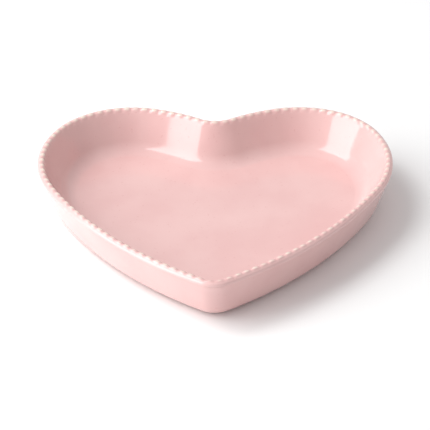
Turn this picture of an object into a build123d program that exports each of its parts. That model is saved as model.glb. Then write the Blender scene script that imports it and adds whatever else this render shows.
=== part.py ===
from build123d import *
import os
from math import atan2, cos, degrees, radians, sin, sqrt, tan

# A heart-shaped stoneware trinket dish with a row of pearls round its rim.
# Millimetres, +Z up. The origin is on the table under the middle of the dish's
# box, the heart's point looks along -Y and its cleft along +Y.
#
# The fired dish is one piece of pottery. Its nodes are what the potter builds
# it from: the clay body, the rolled band on its wall, the pearls on the band,
# the foot it stands on, and the glaze coats that cover the clay.

os.makedirs("parts", exist_ok=True)

# ---- driving dimensions -------------------------------------------------

# Half of the plan outline, through the pearls' centres: tangent arcs that run
# from the point of the heart to the cleft, as (radius, turn in degrees).
TIP_ARC = (8.6, 31.6)
SIDE_ARC = (171.7, 31.4)
SHOULDER_ARC = (54.2, 51.5)
LOBE_SIDE_ARC = (35.3, 81.9)
LOBE_TOP_ARC = (76.9, 16.2)

# Insets are measured inwards from that centreline.
PEARL_COUNT = 109
PEARL_RADIUS = 1.3
PEARL_CENTRE_Z = 20.7

BAND_TOP_Z = 21.2
BAND_HEIGHT = 1.4
BAND_BULGE = 1.5
BAND_TOP_ROUND = 0.9
BAND_FOOT_ROUND = 0.35

WALL_LEAN = 19.2
WALL_TOP_INSET = -1.25
BASE_ROUND = 7.0
OUTSIDE_TIP_RADIUS = 9.5

FLOOR_Z = 4.8
WELL_ROUND = 8.0
WELL_LEAN = 26.0
WELL_MOUTH_INSET = 1.6
WELL_TIP_RADIUS = 7.0

GLAZE = 0.35

FOOT_HEIGHT = 0.5
FOOT_INSET = 10.8
FOOT_WIDTH = 4.0
FOOT_ROUND = 0.35
FOOT_TIP_RADIUS = 6.0

# How finely the rounds are lofted, how far the cutters reach past what they
# cut, and how near an edge lies to the height that it is looked up by.
ROUND_STEPS = 6
WALL_STEPS = 6
CUTTER_RISE = 3.0
CUTTER_SIZE = 400.0
HEIGHT_SLACK = 0.01

# ---- sizes that follow --------------------------------------------------

ARCS = [TIP_ARC, SIDE_ARC, SHOULDER_ARC, LOBE_SIDE_ARC, LOBE_TOP_ARC]
WALL_TOP_Z = BAND_TOP_Z - BAND_HEIGHT


def arc_centres():
    """Centres of the half outline's arcs, with the tip at the origin."""
    centres = []
    x, y, heading = 0.0, 0.0, 0.0
    for radius, turn in ARCS:
        centre_x = x - radius * sin(heading)
        centre_y = y + radius * cos(heading)
        centres.append((centre_x, centre_y))
        heading += radians(turn)
        x = centre_x + radius * sin(heading)
        y = centre_y - radius * cos(heading)
    return centres, x, heading


CENTRES, LOBE_END_X, LOBE_HEADING = arc_centres()
CLEFT_RADIUS = -LOBE_END_X / sin(LOBE_HEADING)
CLEFT_TURN = degrees(LOBE_HEADING) - 180

# The lobe's highest point is on the lobe side arc or the lobe top arc,
# wherever the outline heads straight back along -X.
turn_before_lobe_top = sum(turn for radius, turn in ARCS[:4])
TOP_ARC_INDEX = 4 if turn_before_lobe_top < 180 else 3
LENGTH = CENTRES[TOP_ARC_INDEX][1] + ARCS[TOP_ARC_INDEX][0]
SHIFT_Y = -LENGTH / 2


def heart_wire(inset, z=0.0, tip_radius=None):
    """Heart outline, inset from the pearls' centreline, as twelve arcs.

    With no tip radius the whole outline is parallel to the centreline. With
    one, the point of the heart is that fillet between the two sides.
    """
    if tip_radius is None:
        tip_radius = TIP_ARC[0] - inset
    side_radius = SIDE_ARC[0] - inset
    side_x, side_y = CENTRES[1]
    reach = side_radius - tip_radius
    tip_centre_y = side_y - sqrt(reach**2 - side_x**2)
    tip_turn = degrees(atan2(-side_x, side_y - tip_centre_y))
    side_turn = TIP_ARC[1] + SIDE_ARC[1] - tip_turn
    start = (0, tip_centre_y - tip_radius + SHIFT_Y, z)
    edges = [JernArc(start, (1, 0, 0), tip_radius, tip_turn)]
    steps = [
        (side_radius, side_turn),
        (SHOULDER_ARC[0] - inset, SHOULDER_ARC[1]),
        (LOBE_SIDE_ARC[0] - inset, LOBE_SIDE_ARC[1]),
        (LOBE_TOP_ARC[0] - inset, LOBE_TOP_ARC[1]),
        (CLEFT_RADIUS + inset, -CLEFT_TURN),
    ]
    for radius, turn in steps:
        last = edges[-1]
        edges.append(JernArc(last @ 1, last % 1, radius, turn))
    right_half = [edge.edge() for edge in edges]
    left_half = [mirror(edge, about=Plane.YZ).edge() for edge in reversed(right_half)]
    return Wire(right_half + left_half)


def heart_face(inset, z=0.0, tip_radius=None):
    return Face(heart_wire(inset, z, tip_radius))


def edges_at(solid, z):
    """The outline edges that lie flat at height z."""
    return solid.edges().filter_by_position(Axis.Z, z - HEIGHT_SLACK, z + HEIGHT_SLACK)


# ---- the hollow and the outside form -------------------------------------


def well(growth):
    """The hollow of the dish, open upwards past the band's top.

    A leaning wall runs into a round of one radius that meets the flat floor.
    Growth moves the whole skin outwards and down by the glaze coat.
    """
    lean = radians(WELL_LEAN)
    top_z = BAND_TOP_Z + CUTTER_RISE
    round_z = FLOOR_Z + WELL_ROUND
    wall_foot_z = round_z - WELL_ROUND * sin(lean)
    wall_foot_inset = WELL_MOUTH_INSET + (BAND_TOP_Z - wall_foot_z) * tan(lean)
    round_inset = wall_foot_inset + WELL_ROUND * cos(lean)
    grown = WELL_ROUND + growth
    foot_z = round_z - grown * sin(lean)
    foot_inset = round_inset - grown * cos(lean)
    skin = []
    for step in range(WALL_STEPS):
        z = top_z + (foot_z - top_z) * step / WALL_STEPS
        skin.append((foot_inset - (z - foot_z) * tan(lean), z))
    for step in range(ROUND_STEPS + 1):
        angle = lean + (radians(90) - lean) * step / ROUND_STEPS
        skin.append((round_inset - grown * cos(angle), round_z - grown * sin(angle)))
    sections = [heart_wire(inset, z, WELL_TIP_RADIUS + growth) for inset, z in skin]
    return Solid.make_loft(sections, ruled=False)


def outside_form(shrink):
    """The solid block inside the dish's outer wall, from underside to band."""
    lean = radians(WALL_LEAN)
    bottom_z = FOOT_HEIGHT + shrink
    top_inset = WALL_TOP_INSET + shrink / cos(lean)
    bottom_inset = top_inset + (WALL_TOP_Z - bottom_z) * tan(lean)
    bottom = heart_wire(bottom_inset, bottom_z, OUTSIDE_TIP_RADIUS)
    top = heart_wire(top_inset, WALL_TOP_Z, OUTSIDE_TIP_RADIUS)
    block = Solid.make_loft([bottom, top], ruled=True)
    return fillet(edges_at(block, bottom_z), BASE_ROUND - shrink)


glazed_well = well(0.0)
clay_well = well(GLAZE)
glazed_block = outside_form(0.0)
clay_block = outside_form(GLAZE)

# ---- clay body -------------------------------------------------------------

clay_body = clay_block - clay_well

# ---- rolled band on top of the wall ----------------------------------------

band_block = extrude(heart_face(-BAND_BULGE, WALL_TOP_Z), amount=BAND_HEIGHT, dir=(0, 0, 1))
band_block = fillet(edges_at(band_block, BAND_TOP_Z), BAND_TOP_ROUND)
band_block = fillet(edges_at(band_block, WALL_TOP_Z), BAND_FOOT_ROUND)
rim_band = band_block - clay_well

# ---- pearls on the band ----------------------------------------------------


def pearl_places():
    """Evenly spaced points on the centreline, with a pearl at the cleft."""
    centreline = heart_wire(0.0, PEARL_CENTRE_Z)
    places = []
    for index in range(PEARL_COUNT):
        places.append(centreline @ ((index + 0.5) / PEARL_COUNT))
    return places


buried_half = Pos(0, 0, BAND_TOP_Z - PEARL_RADIUS) * Box(CUTTER_SIZE, CUTTER_SIZE, 2 * PEARL_RADIUS)
pearl = Pos(0, 0, PEARL_CENTRE_Z) * Sphere(PEARL_RADIUS) - buried_half
rim_pearls = Compound([Pos(place.X, place.Y, 0) * pearl.solid() for place in pearl_places()])

# ---- foot ring -------------------------------------------------------------

foot_top_z = FOOT_HEIGHT + GLAZE
foot_outer = heart_face(FOOT_INSET, 0, FOOT_TIP_RADIUS)
foot_inner = heart_face(FOOT_INSET + FOOT_WIDTH, 0, FOOT_TIP_RADIUS)
foot_disc = extrude(foot_outer, amount=foot_top_z, dir=(0, 0, 1))
foot_core = extrude(foot_inner, amount=foot_top_z, dir=(0, 0, 1))
foot_ring = foot_disc - foot_core
foot_ring = fillet(edges_at(foot_ring, 0), FOOT_ROUND)

# ---- glaze coats -----------------------------------------------------------

below_band_top = Pos(0, 0, BAND_TOP_Z / 2) * Box(CUTTER_SIZE, CUTTER_SIZE, BAND_TOP_Z)
inside_glaze = (clay_well - glazed_well) & below_band_top
outer_coat = glazed_block - clay_block - clay_well
outside_glaze = outer_coat - foot_disc
underside_glaze = outer_coat & foot_core

NODES = {
    "clay_body": clay_body,
    "rim_band": rim_band,
    "rim_pearls": rim_pearls,
    "foot_ring": foot_ring,
    "inside_glaze": inside_glaze,
    "outside_glaze": outside_glaze,
    "underside_glaze": underside_glaze,
}

for name, shape in NODES.items():
    export_step(shape, f"parts/{name}.step")
    box = shape.bounding_box()
    print(name, "solids", len(shape.solids()), "mm3", round(shape.volume, 1), "box", box.min, box.max)
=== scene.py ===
from math import atan2, cos, hypot, pi, radians, sin, sqrt, tan
from random import Random

import bmesh
import bpy
from mathutils import Matrix, Vector, noise


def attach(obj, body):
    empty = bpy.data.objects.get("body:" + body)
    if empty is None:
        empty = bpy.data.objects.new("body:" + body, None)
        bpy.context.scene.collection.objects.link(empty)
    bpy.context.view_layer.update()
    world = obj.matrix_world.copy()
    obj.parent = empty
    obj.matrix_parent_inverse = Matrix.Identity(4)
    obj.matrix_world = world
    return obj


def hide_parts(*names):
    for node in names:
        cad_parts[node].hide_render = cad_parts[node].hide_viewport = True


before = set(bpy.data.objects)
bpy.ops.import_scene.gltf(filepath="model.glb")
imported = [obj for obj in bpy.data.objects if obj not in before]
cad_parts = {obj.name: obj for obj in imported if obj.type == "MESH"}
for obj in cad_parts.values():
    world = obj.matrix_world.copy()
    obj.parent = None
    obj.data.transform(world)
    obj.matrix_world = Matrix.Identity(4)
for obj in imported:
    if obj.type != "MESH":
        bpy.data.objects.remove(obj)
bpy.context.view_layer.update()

MM = 0.001

# ---- Clay body ----------------------------------------------------------------
# The floor and the leaning wall, pressed from buff stoneware clay in one piece.
# It lies wholly under the glaze, so the CAD solid stays and gets its fired clay.

CLAY_BUFF = (0.66, 0.55, 0.43, 1.0)
CLAY_WARM = (0.56, 0.43, 0.31, 1.0)
CLAY_IRON = (0.25, 0.13, 0.07, 1.0)


class Strand:
    """A socket in a recipe. Sums on it add Math nodes to the recipe."""

    def __init__(self, recipe, socket):
        self.recipe = recipe
        self.socket = socket

    def reckon(self, operation, first, second):
        return self.recipe.add("ShaderNodeMath", {"operation": operation}, {0: first, 1: second})

    def __add__(self, other):
        return self.reckon("ADD", self, other)

    def __mul__(self, other):
        return self.reckon("MULTIPLY", self, other)

    __radd__ = __add__
    __rmul__ = __mul__


class Recipe:
    """One finish of the pottery: a material and the nodes that make it."""

    def __init__(self, name):
        self.material = bpy.data.materials.new(name)
        self.material.use_nodes = True
        self.tree = self.material.node_tree
        self.tree.nodes.clear()

    def add(self, kind, settings=None, sockets=None, output=0):
        """Adds a node: its settings first, then the values or strands of its sockets."""
        node = self.tree.nodes.new(kind)
        for key, value in (settings or {}).items():
            setattr(node, key, value)
        for key, value in (sockets or {}).items():
            if isinstance(value, Strand):
                self.tree.links.new(value.socket, node.inputs[key])
            else:
                node.inputs[key].default_value = value
        return Strand(self, node.outputs[output]) if node.outputs else None

    def place(self):
        return self.add("ShaderNodeTexCoord", output="Object")

    def cloud(self, size, detail=2.0, roughness=0.5):
        """Soft noise whose patches are about size metres across."""
        sockets = {"Vector": self.place(), "Scale": 1.0 / size, "Detail": detail, "Roughness": roughness}
        return self.add("ShaderNodeTexNoise", None, sockets)

    def span(self, strand, low, high):
        """0 below low, 1 above high, and smooth between them."""
        settings = {"interpolation_type": "SMOOTHSTEP"}
        sockets = {"Value": strand, "From Min": low, "From Max": high}
        return self.add("ShaderNodeMapRange", settings, sockets)

    def mix(self, share, first, second):
        settings = {"data_type": "RGBA", "clamp_factor": True}
        return self.add("ShaderNodeMix", settings, {"Factor": share, 6: first, 7: second}, output=2)

    def bump(self, height, distance, under=None):
        sockets = {"Height": height, "Distance": distance, "Strength": 1.0}
        if under is not None:
            sockets["Normal"] = under
        return self.add("ShaderNodeBump", None, sockets)

    def fire(self, sockets):
        """Makes the surface and ends the recipe."""
        surface = self.add("ShaderNodeBsdfPrincipled", None, sockets)
        self.add("ShaderNodeOutputMaterial", None, {"Surface": surface})
        return self.material


def fired_clay(name, smear):
    """Buff stoneware with iron grog in it; smear is how much the sponge has darkened it."""
    clay = Recipe(name)
    tone = clay.span(clay.cloud(12 * MM, 4.0, 0.6), 0.35, 0.7)
    colour = clay.mix(tone * smear, CLAY_BUFF, CLAY_WARM)
    grog = clay.span(clay.cloud(0.7 * MM, 1.0), 0.66, 0.72)
    colour = clay.mix(grog * 0.7, colour, CLAY_IRON)
    grain = clay.cloud(0.35 * MM, 3.0, 0.7)
    roughness = 0.78 + clay.cloud(3 * MM) * 0.2
    normal = clay.bump(grain, 0.06 * MM)
    return clay.fire({"Base Color": colour, "Roughness": roughness, "Normal": normal})


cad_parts["clay_body"].data.materials.clear()
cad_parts["clay_body"].data.materials.append(fired_clay("fired_clay_under_glaze", 0.8))

# ---- Foot ring ------------------------------------------------------------------
# The low ring that the dish stands on, turned with the body and wiped bare of glaze
# so that it doesn't stick to the kiln shelf. Its CAD solid stays, in sponged clay.

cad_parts["foot_ring"].data.materials.clear()
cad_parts["foot_ring"].data.materials.append(fired_clay("sponged_bare_clay", 1.0))

# ---- Rim: rolled band and pearls --------------------------------------------------
# A narrow roll of clay along the top of the wall, with a row of small pearls pressed
# on it. One coat of glaze runs over both: it is thin and cream on the pearls, and
# pools pink between them.

TIP_ARC = (8.6, 31.6)
SIDE_ARC = (171.7, 31.4)
SHOULDER_ARC = (54.2, 51.5)
LOBE_SIDE_ARC = (35.3, 81.9)
LOBE_TOP_ARC = (76.9, 16.2)

PEARLS = 109
ROLL_FOOT = 19.5
WALL_LEAN = radians(19.2)
WALL_TOP = 19.8
WALL_TOP_INSET = -1.25
ROLL_CENTRE = (-0.30, 20.3)
ROLL_ROUND = 1.2
LIP_HEIGHT = 20.2
BAND_TOP = 21.2
WELL_LEAN = radians(26)
WELL_MOUTH_INSET = 1.6


class HeartArc:
    """One of the tangent arcs of the right half heart, from the tip to the cleft."""

    def __init__(self, x, y, heading, radius, turn):
        self.radius = radius
        self.turn = turn
        self.start = heading
        side = 1 if turn > 0 else -1
        self.centre = Vector((x - side * radius * sin(heading), y + side * radius * cos(heading)))
        self.length = radius * abs(turn)

    def end(self):
        side = 1 if self.turn > 0 else -1
        heading = self.start + self.turn
        offset = Vector((sin(heading), -cos(heading))) * self.radius * side
        return self.centre + offset, heading

    def reach(self, spot):
        """Share of the arc that a spot stands at, its inset, and the way inwards."""
        side = 1 if self.turn > 0 else -1
        away = (spot - self.centre) * side
        heading = atan2(away.x, -away.y) % (2 * pi)
        if heading - self.start > pi:
            heading -= 2 * pi
        share = (heading - self.start) / self.turn
        inset = self.radius * side - away.length * side
        return share, inset, -away.normalized()


def half_heart():
    """The six arcs in metres, with the middle of the heart's length at the origin."""
    arcs = []
    spot, heading = Vector((0, 0)), 0.0
    for radius, turn in (TIP_ARC, SIDE_ARC, SHOULDER_ARC, LOBE_SIDE_ARC, LOBE_TOP_ARC):
        arcs.append(HeartArc(spot.x, spot.y, heading, radius * MM, radians(turn)))
        spot, heading = arcs[-1].end()
    arcs.append(HeartArc(spot.x, spot.y, heading, -spot.x / sin(heading), pi - heading))
    length = arcs[3].centre.y + arcs[3].radius
    for arc in arcs:
        arc.centre.y -= length / 2
    return arcs


heart = half_heart()
half_round = sum(arc.length for arc in heart)


def spin_along(bm, carried, stages):
    """Spins geometry through (centre, turn, steps) stages, each from the last one's end."""
    for centre, turn, steps in stages:
        spun = bmesh.ops.spin(
            bm,
            geom=carried,
            cent=(centre.x, centre.y, 0),
            axis=(0, 0, 1),
            dvec=(0, 0, 0),
            angle=turn,
            steps=steps,
            use_merge=False,
            use_duplicate=False,
        )
        carried = spun["geom_last"]


# Millimetres within which points count as on the seam, and as one point.
SEAM_SNAP = 0.002
SEAM_MERGE = 0.003
POINT_MERGE = 0.001


def close_halves(bm):
    """Mirrors the right half to the left and closes the two at the tip and the cleft."""
    for vert in bm.verts:
        if abs(vert.co.x) < SEAM_SNAP * MM:
            vert.co.x = 0
    everything = bm.verts[:] + bm.edges[:] + bm.faces[:]
    bmesh.ops.mirror(bm, geom=everything, matrix=Matrix(), merge_dist=SEAM_MERGE * MM, axis="X")
    bmesh.ops.remove_doubles(bm, verts=bm.verts, dist=POINT_MERGE * MM)


def spin_profile(bm, profile, step):
    """Spins a closed profile of (inset, height) in millimetres round the whole heart."""
    tip = heart[0].centre.y - heart[0].radius
    ring = [bm.verts.new((0, tip + inset * MM, height * MM)) for inset, height in profile]
    edges = [bm.edges.new((ring[i - 1], ring[i])) for i in range(len(ring))]
    stages = [(arc.centre, arc.turn, max(4, round(arc.length / (step * MM)))) for arc in heart]
    spin_along(bm, ring + edges, stages)
    close_halves(bm)


# The hand's pull as waves per metre and millimetres moved. The noise starts from
# the clock unless it is given a seed.
HAND_SEED = 11
DISH_HEIGHT = 22
BROAD_WAVES = 22
BROAD_PULL = 0.25
CLOSE_WAVES = 80
CLOSE_PULL = 0.05
CLOSE_SHIFT = Vector((3, 1, 7))
noise.seed_set(HAND_SEED)


def pull_of_hand(bm):
    """The slight unevenness of a pressed and hand-finished dish; none at its foot."""
    for vert in bm.verts:
        pull = min(1.0, max(0.0, vert.co.z / (DISH_HEIGHT * MM)))
        broad = noise.noise_vector(vert.co * BROAD_WAVES)
        close = noise.noise_vector(vert.co * CLOSE_WAVES + CLOSE_SHIFT)
        vert.co += (broad * BROAD_PULL + close * CLOSE_PULL) * MM * pull


def set_in_place(name, bm, material, *nodes, slot):
    """Turns the mesh into a shown piece that stands for CAD nodes."""
    bmesh.ops.recalc_face_normals(bm, faces=bm.faces)
    mesh = bpy.data.meshes.new(name)
    bm.to_mesh(mesh)
    bm.free()
    mesh.shade_smooth()
    mesh.set_sharp_from_angle(angle=radians(50))
    mesh.materials.append(material)
    piece = bpy.data.objects.new(name, mesh)
    bpy.context.scene.collection.objects.link(piece)
    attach(piece, "root")
    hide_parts(*nodes)


PINK_PALE = (0.800, 0.530, 0.512, 1.0)
PINK_MID = (0.760, 0.475, 0.462, 1.0)
PINK_DEEP = (0.660, 0.340, 0.325, 1.0)
CREAM_BREAK = (0.830, 0.700, 0.610, 1.0)
GLAZE_IOR = 1.70


def glaze_colour(glaze):
    """Pale pink with slow clouds, and tiny darker specks where colour has gathered."""
    clouds = glaze.span(glaze.cloud(28 * MM, 3.0, 0.55), 0.3, 0.75)
    colour = glaze.mix(clouds, PINK_PALE, PINK_MID)
    specks = glaze.span(glaze.cloud(1.1 * MM, 1.0), 0.70, 0.76)
    return glaze.mix(specks * 0.35, colour, PINK_DEEP)


def glaze_skin(glaze):
    """The fluid surface of fired glaze: slow waves and faint pin-prick texture."""
    waves = glaze.bump(glaze.cloud(9 * MM, 1.0), 0.04 * MM)
    return glaze.bump(glaze.cloud(0.8 * MM, 2.0), 0.0015 * MM, waves)


def rim_glaze():
    glaze = Recipe("rim_glaze")
    pooled = glaze.add("ShaderNodeAttribute", {"attribute_name": "pooled_glaze"}, None, "Fac")
    colour = glaze.mix(pooled, glaze_colour(glaze), PINK_DEEP)
    thin = glaze.add("ShaderNodeAttribute", {"attribute_name": "thin_glaze"}, None, "Fac")
    colour = glaze.mix(thin, colour, CREAM_BREAK)
    roughness = 0.12 + glaze.cloud(2 * MM) * 0.06
    return glaze.fire(
        {"Base Color": colour, "Roughness": roughness, "Normal": glaze_skin(glaze), "IOR": GLAZE_IOR}
    )


def wall_inset(height):
    return WALL_TOP_INSET + (WALL_TOP - height) * tan(WALL_LEAN)


def well_inset(height):
    return WELL_MOUTH_INSET + (BAND_TOP - height) * tan(WELL_LEAN)


def smooth_run(corners, rounds=2):
    """Rounds a run of points by cutting its corners, as a potter's sponge does."""
    points = [Vector(corner) for corner in corners]
    for _ in range(rounds):
        cut = [points[0]]
        for first, second in zip(points, points[1:]):
            cut.append(first.lerp(second, 0.25))
            cut.append(first.lerp(second, 0.75))
        points = cut + [points[-1]]
    return points


# The rim's section as (inset, height) in millimetres: the roll, then over the top
# of a pearl or through the gap beside it, and down to the inner lip.
ROLL_STEPS = 6
ROLL_STEP_TURN = 14
ROLL = [
    (wall_inset(ROLL_FOOT), ROLL_FOOT),
    (-1.17, 19.68),
    (-1.10, 19.80),
    (-1.22, 19.90),
    (-1.42, 19.98),
]
for step in range(ROLL_STEPS):
    roll_angle = radians(ROLL_STEP_TURN * step)
    spot = (ROLL_CENTRE[0] - ROLL_ROUND * cos(roll_angle), ROLL_CENTRE[1] + ROLL_ROUND * sin(roll_angle))
    ROLL.append(spot)
INNER_LIP = (well_inset(LIP_HEIGHT), LIP_HEIGHT)
RIM_STEP = 0.35
OVER_PEARL = [(-0.55, 21.55), (-0.30, 21.90), (0.25, 22.02), (0.85, 21.98), (1.35, 21.65), (1.66, 21.15)]
IN_GAP = [(-0.57, 21.44), (-0.38, 21.56), (0.14, 21.62), (0.68, 21.56), (1.12, 21.35), (1.48, 20.96)]
crest = smooth_run(ROLL + OVER_PEARL + [INNER_LIP])
valley = smooth_run(ROLL + IN_GAP + [INNER_LIP])

rim_bm = bmesh.new()
rim_backing = [(1.62, LIP_HEIGHT), (1.2, ROLL_FOOT)]
thin_layer = rim_bm.verts.layers.float.new("thin_glaze")
pool_layer = rim_bm.verts.layers.float.new("pooled_glaze")
spin_profile(rim_bm, [tuple(point) for point in crest] + rim_backing, RIM_STEP)
hand = Random(HAND_SEED)
pitch = 2 * half_round / PEARLS
pearl_shift = [hand.uniform(-0.05, 0.05) * pitch for _ in range(PEARLS)]
pearl_size = [hand.uniform(0.80, 1.05) for _ in range(PEARLS)]
pearl_thin = [hand.uniform(0.55, 1.0) for _ in range(PEARLS)]

# Pearls are flatter near the heart's point, cream where the glaze thins on their
# tops, and deeper pink where it pools in the gaps.
PEARL_SIDES = 0.62
TIP_SWELL = 0.55
TIP_REACH = 20
CREAM_SPOT = (0.75, 21.9)
CREAM_REACH = 1.25
CREAM_START = 0.45
CREAM_STRENGTH = 1.8
POOL_SPREAD = 1.6
POOL_STRENGTH = 0.5


def place_on_rim(spot):
    """Distance along the rim from the tip by the right, inset, and the way inwards."""
    right = Vector((abs(spot.x), spot.y))
    run = 0.0
    best = None
    for arc in heart:
        share, inset, inwards = arc.reach(right)
        if -0.01 <= share <= 1.01 and (best is None or abs(inset) < abs(best[1])):
            best = (run + share * arc.length, inset, inwards)
        run += arc.length
    along, inset, inwards = best
    if spot.x < 0:
        along = 2 * half_round - along
        inwards = Vector((-inwards.x, inwards.y))
    return along, inset, inwards


profile_point = {}
for index, point in enumerate(crest):
    profile_point[(round(point.x, 2), round(point.y, 2))] = index

for vert in rim_bm.verts:
    height = vert.co.z / MM
    if height > LIP_HEIGHT + 0.01:
        along, inset, inwards = place_on_rim(vert.co)
        index = profile_point.get((round(inset / MM, 2), round(height, 2)))
        if index is None:
            near = min(crest, key=lambda point: hypot(point.x - inset / MM, point.y - height))
            index = crest.index(near)
        number = int(along / pitch) % PEARLS
        apart = abs(along - (number + 0.5) * pitch - pearl_shift[number])
        apart = min(1.0, apart / (pitch / 2))
        tip_distance = min(along, 2 * half_round - along)
        soften = min(1.0, TIP_SWELL + tip_distance / (TIP_REACH * MM))
        swell = (0.5 + 0.5 * cos(pi * apart)) ** PEARL_SIDES * pearl_size[number] * soften
        target = valley[index].lerp(crest[index], swell)
        vert.co.x += inwards.x * (target.x * MM - inset)
        vert.co.y += inwards.y * (target.x * MM - inset)
        vert.co.z = target.y * MM
        off_spot = hypot(target.x - CREAM_SPOT[0], (target.y - CREAM_SPOT[1]) * 1.1)
        spot = max(0.0, 1 - off_spot / CREAM_REACH)
        core = max(0.0, swell - CREAM_START) / 0.5
        vert[thin_layer] = min(1.0, CREAM_STRENGTH * core * spot) * pearl_thin[number]
        relief = (crest[index] - valley[index]).length
        vert[pool_layer] = min(1.0, relief * POOL_SPREAD) * (1 - min(1.0, swell)) * POOL_STRENGTH

pull_of_hand(rim_bm)
set_in_place("pearled_rim", rim_bm, rim_glaze(), "rim_band", "rim_pearls", slot="thin_glaze_on_pearls")

# ---- Inside glaze -------------------------------------------------------------------
# The glaze poured into the well: one coat down the leaning wall, round the soft
# corner and over the flat floor. It is a thin closed shell over the clay.

GLAZE = 0.35
FLOOR = 4.8
WELL_ROUND = 8.0
WELL_TIP_ROUND = 7.0
FLOOR_RUNS = (1.7, 4.2, 7.2, 11.2)
INSIDE_DEPTH = 0.0
LEVEL_STEP = 0.7
WELL_WALL_STEPS = 5
WELL_ROUND_STEPS = 20


def add_level_line(bm, inset, height, tip_round, step):
    """Adds the right half of a level heart line, which has its own round at the tip.

    The line is spun in a mesh of its own, and its edges are returned.
    """
    side = heart[1]
    reach = side.radius - (inset + tip_round) * MM
    tip_centre = Vector((0, side.centre.y - sqrt(reach * reach - side.centre.x**2)))
    tip_turn = atan2(-side.centre.x, side.centre.y - tip_centre.y)
    side_turn = side.start + side.turn - tip_turn
    stages = [(tip_centre, tip_turn), (side.centre, side_turn)]
    stages += [(arc.centre, arc.turn) for arc in heart[2:]]
    counted = []
    for (centre, turn), arc in zip(stages, heart):
        counted.append((centre, turn, max(8, round(arc.length / (step * MM)))))
    line_bm = bmesh.new()
    start = line_bm.verts.new((0, tip_centre.y - tip_round * MM, height * MM))
    spin_along(line_bm, [start], counted)
    line = bpy.data.meshes.new("level_line")
    line_bm.to_mesh(line)
    line_bm.free()
    known = len(bm.edges)
    bm.from_mesh(line)
    bpy.data.meshes.remove(line)
    bm.edges.ensure_lookup_table()
    return bm.edges[known:]


def behind(skin, thickness):
    """The same run of levels, moved square to itself by the coat's thickness."""
    moved = []
    for index, (inset, height) in enumerate(skin):
        before = skin[max(0, index - 1)]
        after = skin[min(len(skin) - 1, index + 1)]
        run, drop = after[0] - before[0], after[1] - before[1]
        length = hypot(run, drop)
        moved.append((inset + drop / length * thickness, height - run / length * thickness))
    return moved


def round_of(inset, height, radius, lean, steps):
    """Levels down a round from the foot of a leaning wall to the flat."""
    levels = []
    for step in range(steps + 1):
        angle = lean + (radians(90) - lean) * step / steps
        levels.append((inset - radius * cos(angle), height - radius * sin(angle)))
    return levels


def pink_glaze(name, depth):
    """The pink glaze; depth is how far a thicker coat has gone to the deep pink."""
    glaze = Recipe(name)
    colour = glaze.mix(depth, glaze_colour(glaze), PINK_DEEP)
    roughness = 0.09 + glaze.cloud(6 * MM) * 0.06
    return glaze.fire(
        {"Base Color": colour, "Roughness": roughness, "Normal": glaze_skin(glaze), "IOR": GLAZE_IOR}
    )


def well_skin():
    """The well's levels, from the lip down to the floor."""
    round_height = FLOOR + WELL_ROUND
    foot_height = round_height - WELL_ROUND * sin(WELL_LEAN)
    round_inset = well_inset(foot_height) + WELL_ROUND * cos(WELL_LEAN)
    skin = []
    for step in range(WELL_WALL_STEPS):
        height = LIP_HEIGHT + (foot_height - LIP_HEIGHT) * step / WELL_WALL_STEPS
        skin.append((well_inset(height), height))
    skin += round_of(round_inset, round_height, WELL_ROUND, WELL_LEAN, WELL_ROUND_STEPS)
    skin += [(round_inset + run, FLOOR) for run in FLOOR_RUNS]
    return skin


inside_bm = bmesh.new()
front = well_skin()
back = behind(front[::3] + front[-1:], GLAZE)
levels = [add_level_line(inside_bm, *spot, WELL_TIP_ROUND, LEVEL_STEP) for spot in front]
back_levels = [add_level_line(inside_bm, *spot, WELL_TIP_ROUND, LEVEL_STEP) for spot in back]
ring_order = list(zip(levels, levels[1:]))
ring_order += zip(back_levels, back_levels[1:])
ring_order.append((levels[0], back_levels[0]))
for upper, lower in ring_order:
    bmesh.ops.bridge_loops(inside_bm, edges=upper + lower)
close_halves(inside_bm)
open_edges = [edge for edge in inside_bm.edges if edge.is_boundary]
bmesh.ops.holes_fill(inside_bm, edges=open_edges, sides=0)
pull_of_hand(inside_bm)
inside_material = pink_glaze("inside_pink_glaze", INSIDE_DEPTH)
set_in_place("inside_glaze_coat", inside_bm, inside_material, "inside_glaze", slot="pink_glaze")

# ---- Outside glaze --------------------------------------------------------------------
# The glaze on the outside: down the wall from the roll, round the soft base edge and
# in to the foot, where it was wiped off. A thin closed ring over the clay.

BASE_ROUND = 7.0
UNDER_HEIGHT = 0.5
OUTSIDE_TIP_ROUND = 9.5
FOOT_EDGE_INSET = 10.8
OUTSIDE_DEPTH = 0.15
OUTER_WALL_STEPS = 7
BASE_ROUND_STEPS = 14


def wall_skin():
    """The outer wall's levels, from the roll's foot down to the foot ring."""
    round_height = UNDER_HEIGHT + BASE_ROUND
    foot_height = round_height - BASE_ROUND * sin(WALL_LEAN)
    round_inset = wall_inset(foot_height) + BASE_ROUND * cos(WALL_LEAN)
    skin = []
    for step in range(OUTER_WALL_STEPS):
        height = ROLL_FOOT + (foot_height - ROLL_FOOT) * step / OUTER_WALL_STEPS
        skin.append((wall_inset(height), height))
    skin += round_of(round_inset, round_height, BASE_ROUND, WALL_LEAN, BASE_ROUND_STEPS)
    return skin + [(FOOT_EDGE_INSET, UNDER_HEIGHT)]


outside_bm = bmesh.new()
front = wall_skin()
back = behind(front, -GLAZE)[::-1]
levels = []
for inset, height in front + back:
    levels.append(add_level_line(outside_bm, inset, height, OUTSIDE_TIP_ROUND, LEVEL_STEP))
for index, level in enumerate(levels):
    bmesh.ops.bridge_loops(outside_bm, edges=levels[index - 1] + level)
close_halves(outside_bm)
pull_of_hand(outside_bm)
outside_material = pink_glaze("outside_pink_glaze", OUTSIDE_DEPTH)
set_in_place("outside_glaze_coat", outside_bm, outside_material, "outside_glaze", slot="pink_glaze")

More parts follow.
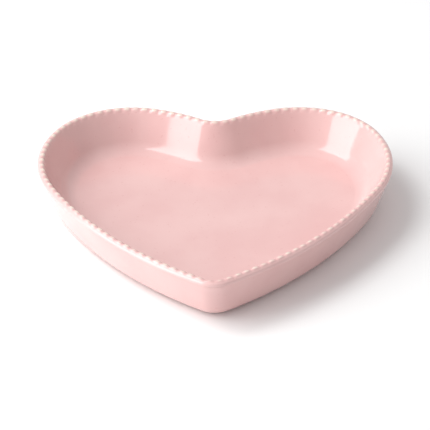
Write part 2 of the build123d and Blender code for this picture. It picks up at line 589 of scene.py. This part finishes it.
# ---- Underside glaze --------------------------------------------------------------------
# The thin coat inside the foot ring, where the dish was dipped. Its CAD solid stays.

underside_material = pink_glaze("underside_pink_glaze", OUTSIDE_DEPTH)
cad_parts["underside_glaze"].data.materials.clear()
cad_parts["underside_glaze"].data.materials.append(underside_material)

# ---- Table, lights and camera ---------------------------------------------------------------
# A plain white table in a white room, with one large softbox to the left and a small
# high key light behind it that shapes the shadow but shows in no reflection.

TABLE_SIZE = 6.0
ROOM_LIGHT = 0.56
LIT_SPOT = Vector((0, 0, 0.01))


def white_table():
    table_bm = bmesh.new()
    bmesh.ops.create_grid(table_bm, x_segments=1, y_segments=1, size=TABLE_SIZE / 2)
    mesh = bpy.data.meshes.new("table")
    table_bm.to_mesh(mesh)
    table_bm.free()
    table = bpy.data.objects.new("table", mesh)
    bpy.context.scene.collection.objects.link(table)
    paper = Recipe("white_table")
    mesh.materials.append(paper.fire({"Base Color": (0.93, 0.93, 0.93, 1.0), "Roughness": 0.9}))


def room(strength):
    world = bpy.data.worlds.new("white_room")
    world.use_nodes = True
    background = world.node_tree.nodes["Background"]
    background.inputs["Color"].default_value = (1.0, 1.0, 1.0, 1.0)
    background.inputs["Strength"].default_value = strength
    bpy.context.scene.world = world


def softbox(name, azimuth, elevation, tilt, distance, width, height, radiance):
    """A lit rectangle that faces the dish, turned by tilt about the way it faces.

    Azimuth 0 is the camera's side and 90 is the right.
    """
    a, e = radians(azimuth), radians(elevation)
    away = Vector((sin(a) * cos(e), -cos(a) * cos(e), sin(e)))
    lamp = bpy.data.lights.new(name, "AREA")
    lamp.shape = "RECTANGLE"
    lamp.size = width
    lamp.size_y = height
    lamp.energy = radiance * pi * width * height
    box = bpy.data.objects.new(name, lamp)
    box.location = LIT_SPOT + away * distance
    facing = away.to_track_quat("Z", "Y").to_matrix().to_4x4() @ Matrix.Rotation(radians(tilt), 4, "Z")
    box.rotation_euler = facing.to_euler()
    box.visible_camera = False
    bpy.context.scene.collection.objects.link(box)
    return box


white_table()
room(ROOM_LIGHT)
softbox(
    "left_softbox", azimuth=-77, elevation=30, tilt=20, distance=0.9, width=0.8, height=1.2, radiance=3.2
)
high_key = softbox(
    "high_key", azimuth=-105, elevation=62, tilt=0, distance=1.1, width=0.45, height=0.45, radiance=5.5
)
high_key.visible_glossy = False

CAMERA_ELEVATION = radians(32.0)
CAMERA_AZIMUTH = radians(0.3)
CAMERA_ROLL = radians(-0.29)
CAMERA_DISTANCE = 0.899
CAMERA_TARGET = Vector((-0.00006, 0.00659, 0.0049))
CAMERA_LENS = 179.8

back_axis = Vector(
    (
        sin(CAMERA_AZIMUTH) * cos(CAMERA_ELEVATION),
        -cos(CAMERA_AZIMUTH) * cos(CAMERA_ELEVATION),
        sin(CAMERA_ELEVATION),
    )
)
camera_data = bpy.data.cameras.new("camera")
camera_data.lens = CAMERA_LENS
camera = bpy.data.objects.new("camera", camera_data)
right_axis = Vector((0, 0, 1)).cross(back_axis).normalized()
up_axis = back_axis.cross(right_axis)
rolled_right = right_axis * cos(CAMERA_ROLL) + up_axis * sin(CAMERA_ROLL)
rolled_up = up_axis * cos(CAMERA_ROLL) - right_axis * sin(CAMERA_ROLL)
turn = Matrix((rolled_right, rolled_up, back_axis)).transposed()
camera.matrix_world = Matrix.Translation(CAMERA_TARGET + back_axis * CAMERA_DISTANCE) @ turn.to_4x4()
bpy.context.scene.collection.objects.link(camera)
bpy.context.scene.camera = camera
bpy.context.scene.view_settings.view_transform = "Standard"
